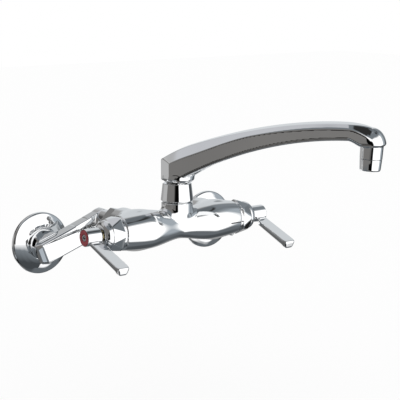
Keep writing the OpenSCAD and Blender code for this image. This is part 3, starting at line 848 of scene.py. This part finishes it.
def lever_field(x, y, z):
    """The hot lever, closed. Its bar lies along a line that drops to the front."""
    out = -x
    r = np.hypot(y, z)
    along = -y * cos(LEVER_DROP) - z * sin(LEVER_DROP)
    up = -y * sin(LEVER_DROP) + z * cos(LEVER_DROP)
    inward = x + LEVER_X
    wide = np.abs(inward)
    share = np.clip(along / LEVER_LEN, 0, 1)
    thick = BAR_THICK + (TIP_THICK - BAR_THICK) * share
    side = cone(wide, LEVER_HALF + 0.6, 0.2, up)
    chin = 0.87 * wide - 0.5 * up - 6.98 - 0.65 * share
    tip_corner = np.hypot(np.maximum(wide - LEVER_HALF + TIP_CORNER_R, 0),
                          np.maximum(along - LEVER_LEN + TIP_CORNER_R, 0)) - TIP_CORNER_R
    ease = glide(0.7, 2.2, (along - LEVER_LEN + 6) / 6)
    bar = meet(ease, up, -up - thick, side, chin, along - LEVER_LEN, tip_corner, -along)
    past = LEVER_HALF - ROOT_HALF
    shoulder = np.hypot(np.maximum(ROOT_LEN - along, 0) / 9,
                        np.maximum(inward - ROOT_HALF, 0) / past) - 1
    bar = meet(0.5, bar, past * np.where(inward > ROOT_HALF, shoulder, -1.0))
    hub = meet(0.7, r - HUB_R, HUB_IN - out, out - HUB_OUT)
    metal = join(1.2, hub, bar)
    metal = bore(metal, meet(0.1, r - STEM_BORE_R, out - HUB_IN - STEM_DEEP))
    metal = bore(metal, meet(0.1, r - SCREW_BORE_R, HUB_IN + 5 - out))
    metal = bore(metal, meet(0.1, r - SCREW_ROOM_R, HUB_OUT - SCREW_ROOM_DEEP - out))
    return bore(metal, meet(0.1, r - HUB_R + 0.6, HUB_OUT - 1 - out))


forging = skin(lever_field, (-107, -59, -30), (-88, 10, 10), 0.5)
lever_chrome = chrome("chrome plated forging", 1.3, 0.05, 0.000015)
for name, side in SIDES:
    lever = placed(f"{name}_lever_forging", *forging, mirrored(side) @ at_body, lever_chrome)
    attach(lever, f"{name}_handle")
    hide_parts(f"{name}_lever")

# ---- Index rings and handle screws ----
# A coloured ring, red for hot and blue for cold, is pressed into the end of each hub
# round the head of the screw that holds the lever on its stem.


def moulded(name, tone):
    """Glossy moulded plastic, a little uneven in tone and rubbed dull in places."""
    material, wiring, surface, marks = start_finish(
        name, 6.0, tone, tuple(1.35 * c + 0.02 for c in tone))
    wiring.feed(surface.inputs["Roughness"], wiring.math(
        "ADD", wiring.math("MULTIPLY", marks.outputs["Haze"], 0.2), 0.25))
    rough_up(wiring, surface, marks.outputs["Ripple"], 0.5, 0.00005)
    return material


def along_stem(side):
    """Frame with +Z out along a stem from the middle of the body, and +X up."""
    return mirrored(side) @ at_body @ Matrix.Rotation(-pi / 2, 4, "Y")


ring_tones = {"hot": moulded("red index ring", (0.17, 0.014, 0.02)),
              "cold": moulded("blue index ring", (0.02, 0.09, 0.36))}
HEAD_R = 3.3
HEAD_IN = 102.2
HEAD_OUT = 105.2
SHANK_R = 1.7
SHANK_IN = 94.2
SLOT_HALF = (2.3, 0.6)
SLOT_FLOOR = 103.4


def screw_field(x, y, z):
    """A round-headed screw with a crossed slot, its axis along the stem."""
    r = np.hypot(x, y)
    head = meet(0.4, r - HEAD_R, HEAD_IN - z, z - HEAD_OUT)
    metal = np.minimum(head, meet(0.2, r - SHANK_R, SHANK_IN - z, z - HEAD_IN - 0.8))
    for a, b in ((x, y), (y, x)):
        slot = meet(0.15, np.abs(a) - SLOT_HALF[0], np.abs(b) - SLOT_HALF[1], SLOT_FLOOR - z)
        metal = bore(metal, slot, 0.15)
    return metal


screw = skin(screw_field, (-4, -4, 93.6), (4, 4, 106), 0.22)
for name, side in SIDES:
    ring = turned(f"{name}_index_ring_moulded", [
        (3.5, 104.4), (7.55, 104.4), (7.55, 105.3), (7.1, 105.6), (3.9, 105.6), (3.5, 105.3)],
        0.2, along_stem(side), ring_tones[name], 64)
    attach(ring, f"{name}_handle")
    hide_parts(f"{name}_index_ring")
    head = placed(f"{name}_handle_screw_head", *screw, along_stem(side), steel)
    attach(head, f"{name}_handle")
    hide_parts(f"{name}_handle_screw")

# ---- Bonnets ----
# Each valve is held in its barrel by a brass bonnet nut, planed to alternate wedges
# so a spanner grips it, with a domed cap over the packing. Both are chrome plated.

HEX_FROM = 70.0
NUT_END = 81.2
COLLAR_R = 15.6
PACKING_R = 10.2
CAP_R = 14.0
CAP_BORE_R = 5.3
CAP_END = 88.0
CAP_EASE = 6.0
SAME_WAY = 0.9995                  # cosine between flats that count as one
SAME_PLACE = 0.15


def flat_sides(points):
    """The flats of the block that a set of corners spans: outward directions, distances."""
    shape = bmesh.new()
    for point in points:
        shape.verts.new(point)
    bmesh.ops.convex_hull(shape, input=shape.verts)
    middle = Vector(np.mean(points, axis=0))
    found = []
    for face in shape.faces:
        face.normal_update()
        n, area = face.normal.copy(), face.calc_area()
        if area < 1e-4:
            continue
        if n.dot(face.verts[0].co - middle) < 0:
            n.negate()
        for other in found:
            if (n.dot(other[0]) > SAME_WAY
                    and abs(n.dot(face.verts[0].co) - other[1]) < SAME_PLACE):
                break
        else:
            found.append((n, n.dot(face.verts[0].co)))
    shape.free()
    return [(tuple(n), d) for n, d in found]


def block(radius, sides, x, y, z):
    """The block within a set of flats, its edges rounded."""
    return meet(radius, *(n[0] * x + n[1] * y + n[2] * z - d for n, d in sides))


def cut_hexagon(r, spread, turn):
    """A hexagon with its corners cut: two points at each corner, spread apart."""
    angles = [radians(60 * k + e * spread + turn) for k in range(6) for e in (-1, 1)]
    return [(r * cos(a), r * sin(a)) for a in angles]


def bonnet_field(turn):
    """The nut is wide at its corners where the flats begin, and nearly twelve-sided at its end."""
    foot = cut_hexagon(17.4, 7.5, turn)
    end = cut_hexagon(14.9, 24.5, turn)
    sides = flat_sides([(x, y, z) for x, y in foot for z in (HEX_FROM, HEX_FROM + 1)]
                       + [(x, y, z) for x, y in end for z in (NUT_END - 0.6, NUT_END)])

    def field(x, y, z):
        r = np.hypot(x, y)
        metal = np.minimum(block(0.5, sides, x, y, z),
                           meet(0.3, r - COLLAR_R, BARREL_END - z, z - HEX_FROM - 1))
        return bore(metal, r - PACKING_R)
    return field


dome = [(CAP_R - CAP_EASE + CAP_EASE * sin(radians(a)), CAP_END - CAP_EASE + CAP_EASE * cos(radians(a)))
        for a in range(90, -1, -9)]
cap_outline = [(CAP_BORE_R, NUT_END), (CAP_R, NUT_END)] + dome + [(CAP_BORE_R, CAP_END)]
for name, side, turn in (("hot", -1, 36), ("cold", 1, 60)):
    nut = cast(f"{name}_bonnet_nut_planed", bonnet_field(turn), (-18.5, -18.5, 66.6),
               (18.5, 18.5, 82), 0.5, along_stem(side), nut_chrome)
    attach(nut, "body")
    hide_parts(f"{name}_bonnet_nut")
    cap = turned(f"{name}_bonnet_cap_turned", cap_outline, 0.4, along_stem(side), nut_chrome)
    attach(cap, "body")
    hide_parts(f"{name}_bonnet_cap")

# ---- Supply arms ----
# Each arm is a brass casting, chrome plated: a boss over the wall inlet, a bevelled
# bar, and a neck that the union nut draws onto the back of the body. Swinging the arms
# sets the distance between the wall inlets.

FLANGE_FACE = 9.0
BOSS_FRONT = 27.6
SPIGOT_OUT_R = 12.4
SUPPLY_R = 9.25
SUPPLY_DEEP = 24.0
WATER_D = 28.0                     # the arm's water way, from the wall
NECK_R = 11.4
NECK_TO = 46.0
ARM_TAIL_R = 10.5
ARM_BORE_R = 6.0
UNION_CORNER_R = 17.6
UNION_R = 13.2
NUT_BACK = 49.5
UNION_LIP = 53.0
UNION_SEAT = 56.0
NUT_FRONT = 61.5
BAR_RUN = 2.5                      # how far neighbouring stretches of the bar overlap


def bar_slice(at, back, front, top, bevel_y, bevel_z, low):
    """A slice of the bar. The bevel between its top and its front face is bevel_y deep."""
    ease = 2.4
    return [(at, y, z) for y, z in (
        (-back, low + ease), (-back, top - ease), (-back - ease, top), (bevel_y - front, top),
        (-front, top - bevel_z), (-front, low + 1.4), (1.4 - front, low), (-back - ease, low))]


def moved_along(slice_corners, by):
    return [(x + by, y, z) for x, y, z in slice_corners]


slices = [bar_slice(-18, 25, 31.5, 10, 2.4, 2.4, -9.4),
          bar_slice(-13.8, 22, 36, 11.3, 2, 1.2, -10.4),
          bar_slice(24, 20, 36, 10.9, 2, 4, -10.4),
          bar_slice(44, 20, 36, 11.3, 2.6, 9, -10.4),
          bar_slice(63, 20, 36, 11.9, 4, 12, -8.4)]
bars = [flat_sides(slices[0] + slices[1] + moved_along(slices[2], BAR_RUN)),
        flat_sides(moved_along(slices[2], -BAR_RUN) + slices[2] + slices[3]
                   + moved_along(slices[3], BAR_RUN)),
        flat_sides(moved_along(slices[3], -BAR_RUN) + slices[3] + slices[4])]
boss_front = [(x, -BOSS_FRONT, z) for x, z in (
    (-17.6, -6), (-17.6, 6), (-12, 12.8), (7, 12.8), (12, 8), (12, -8), (7, -12.8), (-12, -12.8))]
boss_back = [(15 * cos(a), -d, 15 * sin(a)) for a in np.linspace(0, 2 * pi, 25)[:-1]
             for d in (FLANGE_FACE, FLANGE_FACE + 3)]
boss = flat_sides(boss_front + boss_back)


def arm_field(a, y, b):
    """One arm, a along it from the wall inlet and b up across it."""
    d = -y
    metal = block(0.8, boss, a, y, b)
    for sides in bars:
        metal = np.minimum(metal, block(0.8, sides, a, y, b))
    r = np.hypot(a, b)
    metal = np.minimum(metal, meet(0.3, r - SPIGOT_OUT_R, -d, d - SUPPLY_DEEP - 2))
    end_r = np.hypot(a - ARM_OFFSET, b)
    metal = join(1.5, metal, meet(1.0, end_r - NECK_R, 20 - d, d - NECK_TO))
    metal = join(0.5, metal, meet(0.3, end_r - ARM_TAIL_R, NECK_TO - 2 - d, d - UNION_SEAT))
    metal = np.minimum(metal, meet(0.3, end_r - UNION_R + 0.3, UNION_LIP - d, d - UNION_SEAT))
    metal = bore(metal, meet(0.1, r - SUPPLY_R, d - SUPPLY_DEEP))
    metal = bore(metal, meet(0.1, r - WATER_R, d - WATER_D, 20 - d))
    metal = bore(metal, meet(0.1, np.hypot(b, d - WATER_D) - WATER_R, -a, a - ARM_OFFSET))
    return bore(metal, meet(0.1, end_r - ARM_BORE_R, WATER_D - d))


arm = skin(arm_field, (-20, -57, -17), (75, 1.2, 17), 0.7)
along_arm = Matrix.Translation((-WALL_X, 0, 0)) @ Matrix.Rotation(-ARM_RISE, 4, "Y")


def union_field(turn):
    """The union nut: a hexagon with both ends chamfered, and a lip behind the arm's end."""
    def field(x, y, z):
        d = -y
        r = np.hypot(x, z)
        hexagon = flat_list(x, z, 6, turn + 30, UNION_CORNER_R * cos(pi / 6), 0.0)
        metal = meet(0.4, *hexagon, NUT_BACK - d, d - NUT_FRONT, cone(r, 16, 1.12, d - NUT_BACK),
                     cone(r, 16, 1.12, NUT_FRONT - d))
        metal = bore(metal, meet(0.1, r - UNION_R, UNION_LIP - d))
        return bore(metal, r - ARM_TAIL_R - 0.05)
    return field


for name, side, turn in (("hot", -1, 47), ("cold", 1, 35)):
    piece = placed(f"{name}_arm_casting", *arm, mirrored(side) @ along_arm, cast_chrome)
    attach(piece, f"{name}_supply")
    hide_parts(f"{name}_arm")
    union = cast(f"{name}_union_nut_milled", union_field(turn), (-18.5, -62.5, -18.5),
                 (18.5, -48.5, 18.5), 0.55,
                 mirrored(side) @ Matrix.Translation((-PIVOT_X, 0, BODY_RISE)), nut_chrome)
    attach(union, "body")
    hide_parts(f"{name}_union_nut")

# ---- Wall flanges ----
# A spun brass flange, chrome plated, covers each wall inlet: a low dome with a
# rounded rim and a raised hub that slides over the arm's spigot.

flange_outline = [(12.45, 0), (12.45, 9.0), (16.4, 9.0), (20.0, 8.2), (24.0, 6.8), (27.5, 5.2),
                  (29.4, 4.2), (30.2, 3.2), (30.3, 0), (28.3, 0), (28.3, 2.4), (24, 4.8), (19, 6.4),
                  (16, 6.8), (16, 0)]
for name, side in SIDES:
    cover = turned(f"{name}_flange_spun", flange_outline, 1.0,
                   Matrix.Translation((side * WALL_X, 0, 0)) @ Matrix.Rotation(pi / 2, 4, "X"),
                   nut_chrome, 128)
    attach(cover, f"{name}_supply")
    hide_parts(f"{name}_flange")

# ---- Hidden pieces ----
# Turned brass valve pieces and black rubber seals keep the shapes of the frame, with
# the finish of the bar or moulding they come from.

brass = brushed("machined brass", (0.78, 0.60, 0.30), 0.24, 1.2)
greased = brushed("greased brass", (0.36, 0.30, 0.17), 0.16, 1.2)


rubber, wiring, surface, marks = start_finish(
    "black rubber", 3.0, (0.015, 0.015, 0.017), (0.05, 0.05, 0.052))
wiring.feed(surface.inputs["Roughness"], wiring.math(
    "ADD", wiring.math("MULTIPLY", marks.outputs["Haze"], 0.2), 0.55))
for node_name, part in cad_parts.items():
    if part.hide_render:
        continue
    if "washer" in node_name or "o_ring" in node_name:
        finish = rubber
    elif node_name.endswith("stem"):
        finish = greased
    else:
        finish = brass
    part.data.materials.clear()
    part.data.materials.append(finish)
